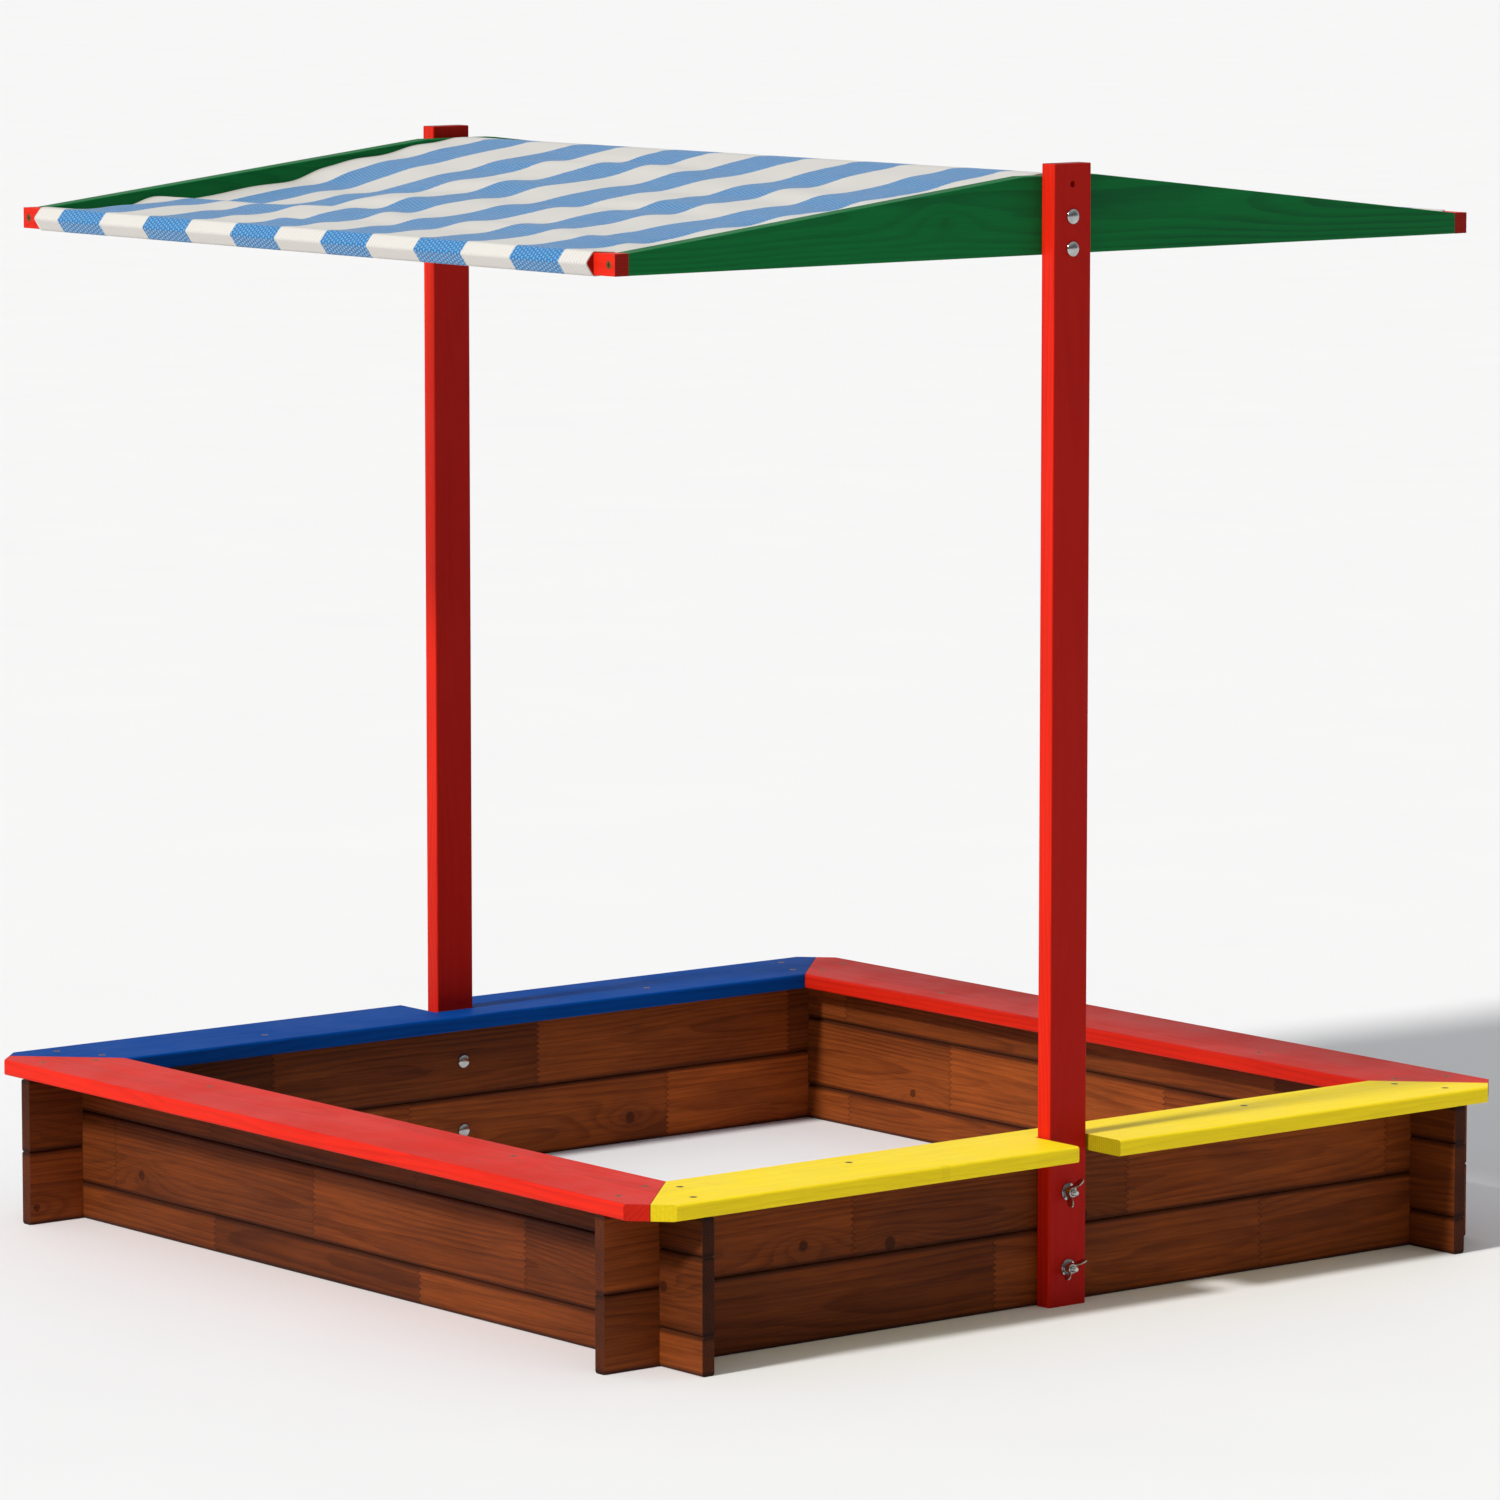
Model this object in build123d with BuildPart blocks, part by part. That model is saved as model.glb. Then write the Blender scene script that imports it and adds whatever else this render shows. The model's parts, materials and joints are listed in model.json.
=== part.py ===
"""Sandbox with a roof: a square frame of interlocking planks with four seat boards, two posts
bolted to its sides, and a striped cloth roof that tilts between the post tops.

Millimetres. Z is up. The origin is on the ground at the centre of the square. The two posts
stand at +X and -X; the roof boards run along Y, and the battens that carry the cloth along X.
"""

from build123d import *
import math
import os

# ---- seats and walls ----
wall_span = 1040.0          # across the outer faces of two opposite walls
seat_overhang = 70.0        # from a wall's outer face to its seat's outer edge
seat_width = 112.0
seat_thickness = 17.0
seat_chamfer = 38.0         # cut across each outer corner, measured along either side
seat_edge_radius = 3.0
mitre_gap = 0.6             # open joint between two seat boards
wall_thickness = 15.0
plank_height = 80.0
plank_courses = 2
plank_overhang = 69.0       # how far a plank runs on past the crossing wall
plank_edge_radius = 3.2
notch_share = 0.25          # depth of a crossing notch as a share of the plank height
notch_clearance = 0.2

# ---- posts and roof timber ----
post_height = 1180.0
post_width = 50.0
post_thickness = 20.0
post_edge_radius = 2.0
post_slot_clearance = 3.0   # between a post and the notch in its seat
top_hole_drop = 21.0        # from the post's top to its first hole
roof_hole_pitch = 33.0
roof_board_length = 1112.0
roof_board_thickness = 20.0
roof_board_height = 80.0    # at its flat peak
roof_board_end_height = 22.0
roof_board_flat = 95.0      # length of the flat peak
lower_hole_margin = 6.0     # from the board's bottom edge up to the lower bolt
tilt_limit = 20.0           # degrees either way
stop_clearance = 0.4        # between the lower bolt and the cut-out it travels in
board_edge_radius = 1.2

# ---- battens ----
batten_thickness = 17.0     # along Y, without the nose
batten_nose = 8.0
batten_nose_height = 12.0   # of the nose's tip above the batten's bottom
batten_nose_radius = 2.0
batten_end_flat = 34.0      # nose cut away at each end
ridge_width = 24.0
ridge_edge_radius = 1.6
ridge_height = 18.0

# ---- cloth ----
cloth_thickness = 1.2
cloth_clearance = 0.3       # between the cloth and the timber it wraps
cloth_side_gap = 0.8        # between the cloth's side edges and the roof boards
cloth_rise = 1.0            # of the cloth above the timber at its high points
cloth_return = 12.0         # strip turned back under the batten

# ---- fasteners ----
bolt_radius = 3.0
bolt_head_radius = 8.0
bolt_head_height = 3.6
bolt_neck = 6.2             # across the square under the head
bolt_neck_depth = 4.0
neck_clearance = 0.05
frame_bolt_length = 50.0
roof_bolt_length = 55.0
bolt_tip_chamfer = 0.8
pivot_clearance = 0.08
hole_clearance = 0.3
washer_radius = 9.0
washer_thickness = 1.6
nut_bore_clearance = 0.06
nut_height = 8.0
nut_base_radius = 6.5
nut_top_radius = 5.0
nut_wing_span = 31.0
nut_wing_thickness = 2.4
seat_screw_radius = 2.0
seat_screw_head_radius = 4.0
seat_screw_head_height = 2.6
seat_screw_length = 45.0
seat_screw_inset = 24.5     # from a crossing wall's centre line to the nearest seat screw
seat_screw_middle = 270.0   # of the two part-way screws from the seat's middle
overhang_screw_margin = 25.0  # from a seat's outer edge to the screws in the overhangs
timber_screw_length = 50.0
screw_clearance = 0.05
screw_tip = 5.0
drive_slot_length = 4.4
drive_slot_width = 0.9
drive_slot_depth = 1.3

# ---- worked out from the above ----
half_span = wall_span / 2 + seat_overhang
wall_height = plank_height * plank_courses
seat_top = wall_height + seat_thickness
wall_face = wall_span / 2
wall_inner = wall_face - wall_thickness
wall_centre = wall_face - wall_thickness / 2
plank_length = wall_span + 2 * plank_overhang
notch_depth = plank_height * notch_share
seat_inner = half_span - seat_width
post_face = wall_face + post_thickness
board_inner = wall_face - roof_board_thickness
empty_hole_height = post_height - top_hole_drop
pivot_height = empty_hole_height - roof_hole_pitch
lower_hole_height = pivot_height - roof_hole_pitch
roof_bottom = lower_hole_height - lower_hole_margin
roof_peak = roof_bottom + roof_board_height
roof_eave = roof_bottom + roof_board_end_height
board_end = roof_board_length / 2
batten_face = board_end + batten_thickness
ridge_bottom = roof_peak - ridge_height
frame_bolt_heights = [plank_height * (course + 0.5) for course in range(plank_courses)]
roof_bolt_heights = [lower_hole_height, pivot_height]

os.makedirs("parts", exist_ok=True)


def save(part, label):
    """Name a finished piece and write it to its own file."""
    part.label = label
    export_step(part, f"parts/{label}.step")


def outward(side, distance):
    """Plane facing away from the centre along X; its local y is up."""
    return Plane(origin=(side * distance, 0, 0), x_dir=(0, side, 0), z_dir=(side, 0, 0))


def facing_in(side, distance):
    """Plane facing the centre along X; its local y is up."""
    return Plane(origin=(side * distance, 0, 0), x_dir=(0, -side, 0), z_dir=(-side, 0, 0))


def turned(quarter_turns):
    """Ground plane turned so that its local y points out through one of the four walls."""
    return Plane.XY.rotated((0, 0, -90 * quarter_turns))


def drill(plane, places, radius, depth):
    """Cut round holes into the part in hand, from a plane and against its normal."""
    with BuildSketch(plane) as holes:
        with Locations(*places):
            Circle(radius)
    extrude(holes.sketch, amount=-depth, mode=Mode.SUBTRACT)


def drill_bolt_holes(plane, heights, depth, clearance, square=False):
    """Holes on the centre line at each height, with a square mouth where a bolt's neck sits."""
    drill(plane, [(0, height) for height in heights], bolt_radius + clearance, depth)
    if square:
        with BuildSketch(plane) as mouths:
            with Locations(*[(0, height) for height in heights]):
                Rectangle(bolt_neck + 2 * neck_clearance, bolt_neck + 2 * neck_clearance)
        extrude(mouths.sketch, amount=-bolt_neck_depth - neck_clearance, mode=Mode.SUBTRACT)


def screw_body(seat, length, grow=0.0, mode=Mode.ADD):
    """Countersunk screw whose head lies in the plane `seat` and points along its normal."""
    plane = Plane(origin=seat.origin, x_dir=seat.x_dir, z_dir=seat.x_dir.cross(seat.z_dir))
    head = seat_screw_head_radius + grow
    shank = seat_screw_radius + grow
    with BuildSketch(plane) as profile:
        with BuildLine():
            Polyline(
                (0, 0),
                (head, 0),
                (shank, -seat_screw_head_height),
                (shank, screw_tip - length),
                (0, -length - grow),
                close=True,
            )
        make_face()
    revolve(profile.sketch, axis=Axis(seat.origin, seat.z_dir), mode=mode)


def screw_group(places, length, label):
    """One file of identical countersunk screws with a cross recess in each head."""
    with BuildPart() as screws:
        for seat in places:
            screw_body(seat, length)
            with BuildSketch(seat):
                Rectangle(drive_slot_length, drive_slot_width)
                Rectangle(drive_slot_width, drive_slot_length)
            extrude(amount=-drive_slot_depth, mode=Mode.SUBTRACT)
    save(screws.part, label)


# ---- wall planks ----
def wall_plank(quarter_turns, low, high, kept_low, kept_high, label, bolted=False):
    """Plank from height low to high that keeps only kept_low to kept_high where walls cross."""
    ground = turned(quarter_turns)
    middle = ground.from_local_coords(Vector(0, wall_centre, (low + high) / 2))
    with BuildPart() as plank:
        with BuildSketch(Plane(origin=middle, x_dir=ground.y_dir, z_dir=ground.x_dir)):
            RectangleRounded(wall_thickness, high - low, plank_edge_radius)
        extrude(amount=plank_length / 2, both=True)
        for floor, ceiling in ((low, kept_low), (kept_high, high)):
            if ceiling > floor:
                with BuildSketch(ground.offset(floor)):
                    with Locations((-wall_centre, wall_centre), (wall_centre, wall_centre)):
                        Rectangle(wall_thickness + 2 * notch_clearance, 2 * wall_thickness)
                extrude(amount=ceiling - floor, mode=Mode.SUBTRACT)
        if bolted:
            side = 1 if quarter_turns == 1 else -1
            drill_bolt_holes(
                facing_in(side, wall_inner),
                [height for height in frame_bolt_heights if low < height < high],
                wall_thickness,
                hole_clearance,
                square=True,
            )
        if high == wall_height:
            for seat in seat_screw_places(quarter_turns) + crossing_screw_places(quarter_turns):
                screw_body(seat, seat_screw_length, screw_clearance, Mode.SUBTRACT)
    save(plank.part, label)


# ---- seats: screws into their own wall near each end and part way, and one into each overhang ----
def seat_screw_places(quarter_turns):
    """Screw places of one seat that go down into its own wall."""
    ground = turned(quarter_turns).offset(seat_top)
    end_screw = wall_centre - seat_screw_inset
    offsets = (-end_screw, -seat_screw_middle, seat_screw_middle, end_screw)
    places = [(offset, wall_centre) for offset in offsets]
    return [Plane(ground.from_local_coords(Vector(*place)), ground.x_dir, ground.z_dir) for place in places]


def overhang_screw_places(quarter_turns):
    """Screw places of one seat that go down into the overhanging ends of the two side walls."""
    ground = turned(quarter_turns).offset(seat_top)
    places = [(side * wall_centre, half_span - overhang_screw_margin) for side in (-1, 1)]
    return [Plane(ground.from_local_coords(Vector(*place)), ground.x_dir, ground.z_dir) for place in places]


def crossing_screw_places(quarter_turns):
    """Screw places of the two neighbouring seats that reach this wall's overhanging ends."""
    return overhang_screw_places(quarter_turns + 1) + overhang_screw_places(quarter_turns - 1)


def seat_board(quarter_turns, label, slotted=False):
    """Mitred seat board, its outer corners cut at 45 degrees, slotted round a post if asked."""
    ground = turned(quarter_turns).offset(wall_height)
    mitre_end = half_span - seat_chamfer / 2
    with BuildPart() as seat:
        with BuildSketch(ground):
            with BuildLine():
                Polyline(
                    (-seat_inner + mitre_gap / 2, seat_inner),
                    (seat_inner - mitre_gap / 2, seat_inner),
                    (mitre_end - mitre_gap / 2, mitre_end),
                    (half_span - seat_chamfer, half_span),
                    (-half_span + seat_chamfer, half_span),
                    (-mitre_end + mitre_gap / 2, mitre_end),
                    close=True,
                )
            make_face()
        extrude(amount=seat_thickness)
        long_axis = Axis(ground.origin, ground.x_dir)
        fillet(seat.edges().filter_by(long_axis), seat_edge_radius)
        if slotted:
            slot_depth = half_span - wall_face
            with BuildSketch(ground):
                with Locations((0, wall_face + slot_depth)):
                    Rectangle(post_width + 2 * post_slot_clearance, 2 * slot_depth)
            extrude(amount=seat_thickness, mode=Mode.SUBTRACT)
        places = seat_screw_places(quarter_turns) + overhang_screw_places(quarter_turns)
        for place in places:
            screw_body(place, seat_screw_length, screw_clearance, Mode.SUBTRACT)
    save(seat.part, label)
    screw_group(places, seat_screw_length, f"{label}_screws")


walls = {1: "right", -1: "left", 0: "back", 2: "front"}
for quarter_turns, wall in walls.items():
    if wall in ("right", "left"):
        for course in range(plank_courses):
            low = course * plank_height
            high = low + plank_height
            name = f"{wall}_wall_plank_{course + 1}"
            wall_plank(quarter_turns, low, high, low + notch_depth, high - notch_depth, name, bolted=True)
    else:
        half = plank_height / 2
        levels = [0.0] + [half + plank_height * course for course in range(plank_courses)] + [wall_height]
        for course in range(plank_courses + 1):
            low = levels[course]
            high = levels[course + 1]
            kept_low = low if low == 0 else low + notch_depth
            kept_high = high if high == wall_height else high - notch_depth
            wall_plank(quarter_turns, low, high, kept_low, kept_high, f"{wall}_wall_plank_{course + 1}")

seat_board(0, "back_red_seat")
seat_board(2, "front_red_seat")
seat_board(1, "yellow_seat", slotted=True)
seat_board(-1, "blue_seat", slotted=True)


# ---- posts ----
def post(side, label):
    """Upright bolted to a side wall, with three equally spaced holes at its top."""
    middle = side * (wall_face + post_thickness / 2)
    with BuildPart() as upright:
        with BuildSketch(Plane.XY):
            with Locations((middle, 0)):
                RectangleRounded(post_thickness, post_width, post_edge_radius)
        extrude(amount=post_height)
        fillet(upright.faces().sort_by(Axis.Z)[-1].edges(), post_edge_radius / 2)
        face = outward(side, post_face)
        round_holes = frame_bolt_heights + [empty_hole_height]
        drill_bolt_holes(face, round_holes, post_thickness, hole_clearance)
        drill_bolt_holes(face, roof_bolt_heights, post_thickness, hole_clearance, square=True)
    save(upright.part, label)


# ---- roof boards ----
ridge_screw_spread = ridge_width / 3


def ridge_screw_places(side):
    """Two screws through a roof board into the end of the ridge batten, hidden by the post."""
    plane = outward(side, wall_face)
    height = ridge_bottom + ridge_height / 2
    return [
        Plane(plane.from_local_coords(Vector(y, height)), plane.x_dir, plane.z_dir)
        for y in (-ridge_screw_spread, ridge_screw_spread)
    ]


def batten_screw_places(end):
    """One screw at each end of an eave batten, into the middle of a roof board's end."""
    height = roof_bottom + roof_board_end_height / 2
    depth = wall_face - roof_board_thickness / 2
    return [
        Plane(origin=(side * depth, end * batten_face, height), x_dir=(end, 0, 0), z_dir=(0, end, 0))
        for side in (-1, 1)
    ]


def roof_board(side, label):
    """Low gable board with the pivot hole and the cut-out that lets the lower bolt travel."""
    stop_radius = roof_hole_pitch - bolt_radius - stop_clearance
    stop_reach = roof_hole_pitch * math.sin(math.radians(tilt_limit)) + bolt_radius + stop_clearance
    stop_corner = pivot_height - math.sqrt(stop_radius ** 2 - stop_reach ** 2)
    with BuildPart() as board:
        with BuildSketch(outward(side, board_inner)):
            with BuildLine():
                Polyline(
                    (-board_end, roof_bottom),
                    (board_end, roof_bottom),
                    (board_end, roof_eave),
                    (roof_board_flat / 2, roof_peak),
                    (-roof_board_flat / 2, roof_peak),
                    (-board_end, roof_eave),
                    close=True,
                )
            make_face()
        extrude(amount=roof_board_thickness)
        long_edges = board.edges().filter_by(Axis.X, reverse=True).filter_by(Axis.Z, reverse=True)
        fillet(long_edges, board_edge_radius)
        with BuildSketch(outward(side, board_inner)):
            with BuildLine():
                ThreePointArc(
                    (-stop_reach, stop_corner),
                    (0, pivot_height - stop_radius),
                    (stop_reach, stop_corner),
                )
                Line((stop_reach, stop_corner), (stop_reach, roof_bottom - 1))
                Line((stop_reach, roof_bottom - 1), (-stop_reach, roof_bottom - 1))
                Line((-stop_reach, roof_bottom - 1), (-stop_reach, stop_corner))
            make_face()
        extrude(amount=roof_board_thickness, mode=Mode.SUBTRACT)
        drill_bolt_holes(outward(side, wall_face), [pivot_height], roof_board_thickness, pivot_clearance)
        for place in ridge_screw_places(side):
            screw_body(place, timber_screw_length, screw_clearance, Mode.SUBTRACT)
        for place in batten_screw_places(-1) + batten_screw_places(1):
            screw_body(place, timber_screw_length, screw_clearance, Mode.SUBTRACT)
    save(board.part, label)


# ---- battens ----
def eave_batten(end, label):
    """Batten across the roof boards' ends, with a nose between its two flat ends."""
    with BuildPart() as batten:
        with BuildSketch(Plane(origin=(0, 0, 0), x_dir=(0, end, 0), z_dir=(end, 0, 0))):
            with BuildLine():
                Polyline(
                    (board_end, roof_bottom),
                    (batten_face, roof_bottom),
                    (batten_face + batten_nose, roof_bottom + batten_nose_height),
                    (batten_face, roof_eave),
                    (board_end, roof_eave),
                    close=True,
                )
            make_face()
        extrude(amount=wall_face, both=True)
        nose = batten.edges().filter_by(Axis.X).sort_by(Axis.Y)[-1 if end > 0 else 0]
        fillet(nose, batten_nose_radius)
        with BuildSketch(Plane.XY.offset(roof_bottom)):
            with GridLocations(2 * wall_face - batten_end_flat, 0, 2, 1):
                with Locations((0, end * (batten_face + batten_nose))):
                    Rectangle(batten_end_flat, 2 * batten_nose)
        extrude(amount=roof_board_end_height, mode=Mode.SUBTRACT)
        for place in batten_screw_places(end):
            screw_body(place, timber_screw_length, screw_clearance, Mode.SUBTRACT)
    save(batten.part, label)
    screw_group(batten_screw_places(end), timber_screw_length, f"{label}_screws")


def ridge_batten():
    """Batten under the cloth between the two boards' peaks."""
    with BuildPart() as batten:
        with BuildSketch(Plane.YZ):
            with Locations((0, ridge_bottom + ridge_height / 2)):
                RectangleRounded(ridge_width, ridge_height, ridge_edge_radius)
        extrude(amount=board_inner, both=True)
        for place in ridge_screw_places(-1) + ridge_screw_places(1):
            screw_body(place, timber_screw_length, screw_clearance, Mode.SUBTRACT)
    save(batten.part, "ridge_batten")
    screw_group(ridge_screw_places(-1) + ridge_screw_places(1), timber_screw_length, "ridge_batten_screws")


# ---- roof cloth ----
def roof_cloth():
    """Cloth over the ridge to both eaves, turned round each batten's nose and back underneath."""
    gap = cloth_clearance
    top = roof_peak + cloth_rise
    eave_top = roof_eave + cloth_rise
    shoulder = ridge_width / 2
    wrap = [
        (batten_face - cloth_return, roof_bottom - gap),
        (batten_face + gap, roof_bottom - gap),
        (batten_face + batten_nose + 2 * gap, roof_bottom + batten_nose_height),
    ]
    front_slope = [(-batten_face - gap, eave_top), (-shoulder, top)]
    back_slope = [(shoulder, top), (batten_face + gap, eave_top)]
    between_boards = front_slope + back_slope
    full_run = [(-y, z) for y, z in wrap] + between_boards + wrap[::-1]
    widths = (
        (full_run, wall_face - batten_end_flat - gap),
        (between_boards, board_inner - cloth_side_gap),
    )
    with BuildPart() as cloth:
        for points, half_width in widths:
            with BuildSketch(Plane.YZ):
                with BuildLine():
                    run = Polyline(*points)
                    offset(run, amount=cloth_thickness, side=Side.LEFT, kind=Kind.INTERSECTION)
                make_face()
            extrude(amount=half_width, both=True)
    save(cloth.part, "roof_cloth")


# ---- bolts, washers and wing nuts ----
def carriage_bolts(seat, heights, length, label):
    """Dome-headed bolts with square necks; the heads stand on the plane `seat`."""
    with BuildPart() as bolts:
        for height in heights:
            place = Plane(seat.from_local_coords(Vector(0, height)), seat.x_dir, seat.z_dir)
            with BuildSketch(Plane(place.origin, place.x_dir, place.x_dir.cross(place.z_dir))):
                with BuildLine():
                    Polyline(
                        (bolt_head_radius, 0),
                        (bolt_radius, 0),
                        (bolt_radius, bolt_tip_chamfer - length),
                        (bolt_radius - bolt_tip_chamfer, -length),
                        (0, -length),
                        (0, bolt_head_height),
                    )
                    TangentArc((0, bolt_head_height), (bolt_head_radius, 0), tangent=(1, 0))
                make_face()
            revolve(axis=Axis(place.origin, place.z_dir))
            with BuildSketch(place):
                Rectangle(bolt_neck, bolt_neck)
            extrude(amount=-bolt_neck_depth)
    save(bolts.part, label)


def washers(seat, heights, label):
    """Flat washers lying on the plane `seat`."""
    with BuildPart() as rings:
        with BuildSketch(seat):
            with Locations(*[(0, height) for height in heights]):
                Circle(washer_radius)
                Circle(bolt_radius + hole_clearance, mode=Mode.SUBTRACT)
        extrude(amount=washer_thickness)
    save(rings.part, label)


def wing_nut(seat, height, angle, label):
    """Wing nut standing on its washer, its wings turned to an angle from level."""
    axial = seat.z_dir
    origin = seat.from_local_coords(Vector(0, height, washer_thickness))
    radial = seat.x_dir.rotate(Axis((0, 0, 0), axial), angle)
    reach = nut_wing_span / 2
    ear_radius = reach * 0.36
    ear_height = nut_height + ear_radius * 0.4
    with BuildPart() as nut:
        with BuildSketch(Plane(origin, radial, radial.cross(axial))):
            for wing in (-1, 1):
                with BuildLine():
                    Polyline(
                        (0, 1),
                        (wing * nut_base_radius, 1),
                        (wing * reach * 0.97, ear_height - ear_radius * 0.3),
                        (wing * (reach - 1.6 * ear_radius), ear_height + ear_radius * 0.7),
                        (0, nut_height * 0.7),
                        close=True,
                    )
                make_face()
                with Locations((wing * (reach - ear_radius), ear_height)):
                    Circle(ear_radius)
        extrude(amount=nut_wing_thickness / 2, both=True)
        with BuildSketch(Plane(origin, radial, radial.cross(axial))):
            Polygon(
                (0, 0),
                (nut_base_radius, 0),
                (nut_top_radius, nut_height),
                (0, nut_height),
                align=None,
            )
        revolve(axis=Axis(origin, axial))
        with BuildSketch(Plane(origin, radial, axial)):
            Circle(bolt_radius + nut_bore_clearance)
        extrude(amount=nut_height * 3, mode=Mode.SUBTRACT)
    save(nut.part, label)


for side, name in ((1, "right"), (-1, "left")):
    post(side, f"{name}_post")
    roof_board(side, f"{name}_roof_board")
    carriage_bolts(facing_in(side, wall_inner), frame_bolt_heights, frame_bolt_length, f"{name}_post_bolts")
    carriage_bolts(outward(side, post_face), roof_bolt_heights, roof_bolt_length, f"{name}_roof_bolts")
    washers(outward(side, post_face), frame_bolt_heights, f"{name}_post_washers")
    washers(facing_in(side, board_inner), roof_bolt_heights, f"{name}_roof_washers")
    wing_nut(outward(side, post_face), frame_bolt_heights[0], 35, f"{name}_post_wing_nut_lower")
    wing_nut(outward(side, post_face), frame_bolt_heights[1], 60, f"{name}_post_wing_nut_upper")
    wing_nut(facing_in(side, board_inner), lower_hole_height, 10, f"{name}_roof_wing_nut_lower")
    wing_nut(facing_in(side, board_inner), pivot_height, 160, f"{name}_roof_wing_nut_upper")

eave_batten(-1, "front_eave_batten")
eave_batten(1, "back_eave_batten")
ridge_batten()
roof_cloth()
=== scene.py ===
"""Timber sandbox with four painted seats, two posts and a tilting striped cloth roof."""

import json
import math

import bmesh
import bpy
from mathutils import Matrix, Vector, noise

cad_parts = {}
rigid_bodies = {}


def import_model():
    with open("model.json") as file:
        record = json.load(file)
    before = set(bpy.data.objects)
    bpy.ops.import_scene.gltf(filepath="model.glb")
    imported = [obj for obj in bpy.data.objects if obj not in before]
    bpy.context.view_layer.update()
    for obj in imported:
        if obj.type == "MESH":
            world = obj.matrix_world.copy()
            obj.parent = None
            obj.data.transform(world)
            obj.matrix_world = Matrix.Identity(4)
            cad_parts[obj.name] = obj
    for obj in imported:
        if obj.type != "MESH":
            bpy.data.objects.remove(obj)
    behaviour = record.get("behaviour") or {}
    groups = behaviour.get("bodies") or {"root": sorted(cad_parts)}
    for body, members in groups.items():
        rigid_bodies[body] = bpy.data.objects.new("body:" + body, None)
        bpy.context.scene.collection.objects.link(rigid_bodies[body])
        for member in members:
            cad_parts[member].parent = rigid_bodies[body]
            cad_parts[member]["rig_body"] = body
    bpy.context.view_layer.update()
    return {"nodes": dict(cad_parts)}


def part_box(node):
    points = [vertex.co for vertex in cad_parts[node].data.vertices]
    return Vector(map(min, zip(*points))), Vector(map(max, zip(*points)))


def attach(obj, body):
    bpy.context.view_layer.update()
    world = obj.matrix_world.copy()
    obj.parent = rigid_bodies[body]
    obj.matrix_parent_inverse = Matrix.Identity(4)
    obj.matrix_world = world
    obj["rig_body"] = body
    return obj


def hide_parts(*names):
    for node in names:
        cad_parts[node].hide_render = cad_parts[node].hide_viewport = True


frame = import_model()
nodes = frame["nodes"]

MM = 0.001


# ---- node trees ----
class Tree:
    """Adds and joins nodes in one shader tree."""

    def __init__(self, tree):
        self.tree = tree

    def add(self, kind, inputs=None, **settings):
        made = self.tree.nodes.new(kind)
        for name, value in settings.items():
            setattr(made, name, value)
        for key, value in (inputs or {}).items():
            self.feed(made.inputs[key], value)
        return made

    def feed(self, socket, value):
        if isinstance(value, bpy.types.NodeSocket):
            self.tree.links.new(value, socket)
        else:
            socket.default_value = value

    def math(self, operation, *values, clamp=False):
        made = self.tree.nodes.new("ShaderNodeMath")
        made.operation = operation
        made.use_clamp = clamp
        for index, value in enumerate(values):
            self.feed(made.inputs[index], value)
        return made.outputs[0]

    def vector(self, operation, *values):
        made = self.tree.nodes.new("ShaderNodeVectorMath")
        made.operation = operation
        for index, value in enumerate(values):
            if operation == "SCALE" and index == 1:
                self.feed(made.inputs["Scale"], value)
            else:
                self.feed(made.inputs[index], value)
        return made.outputs["Value" if operation in ("LENGTH", "DOT_PRODUCT") else "Vector"]

    def split(self, vector):
        return self.add("ShaderNodeSeparateXYZ", {0: vector}).outputs

    def join(self, x, y, z):
        return self.add("ShaderNodeCombineXYZ", {0: x, 1: y, 2: z}).outputs[0]

    def step(self, value, low, high):
        """Smooth step from 0 at low to 1 at high; low may be the greater."""
        made = self.add("ShaderNodeMapRange", interpolation_type="SMOOTHSTEP")
        for key, part in enumerate((value, low, high)):
            self.feed(made.inputs[key], part)
        return made.outputs[0]

    def off_middle(self, value):
        """How far the fraction of a value is from one half, either way."""
        return self.math("ABSOLUTE", self.math("SUBTRACT", self.math("FRACT", value), 0.5))

    def mix(self, factor, first, second, blend="MIX"):
        made = self.add("ShaderNodeMix", data_type="RGBA", blend_type=blend)
        self.feed(made.inputs[0], factor)
        self.feed(made.inputs[6], first)
        self.feed(made.inputs[7], second)
        return made.outputs[2]

    def noise(self, vector, scale=1.0, detail=2.0, roughness=0.5, seed=None):
        inputs = {"Vector": vector, "Scale": scale, "Detail": detail, "Roughness": roughness}
        if seed is not None:
            inputs["W"] = seed
        dimensions = "3D" if seed is None else "4D"
        return self.add("ShaderNodeTexNoise", inputs, noise_dimensions=dimensions).outputs


def shader_group(name, inputs, outputs):
    """Empty shader node group with named sockets; returns its Tree, its inputs and its output node."""
    group = bpy.data.node_groups.new(name, "ShaderNodeTree")
    for label, kind, value in inputs:
        socket = group.interface.new_socket(label, in_out="INPUT", socket_type=kind)
        if value is not None:
            socket.default_value = value
    for label, kind in outputs:
        group.interface.new_socket(label, in_out="OUTPUT", socket_type=kind)
    tree = Tree(group)
    return tree, tree.add("NodeGroupInput").outputs, tree.add("NodeGroupOutput")


def use_group(tree, group, inputs):
    made = tree.tree.nodes.new("ShaderNodeGroup")
    made.node_tree = group
    for key, value in inputs.items():
        tree.feed(made.inputs[key], value)
    return made.outputs


FLOAT, VECTOR = "NodeSocketFloat", "NodeSocketVector"


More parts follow.
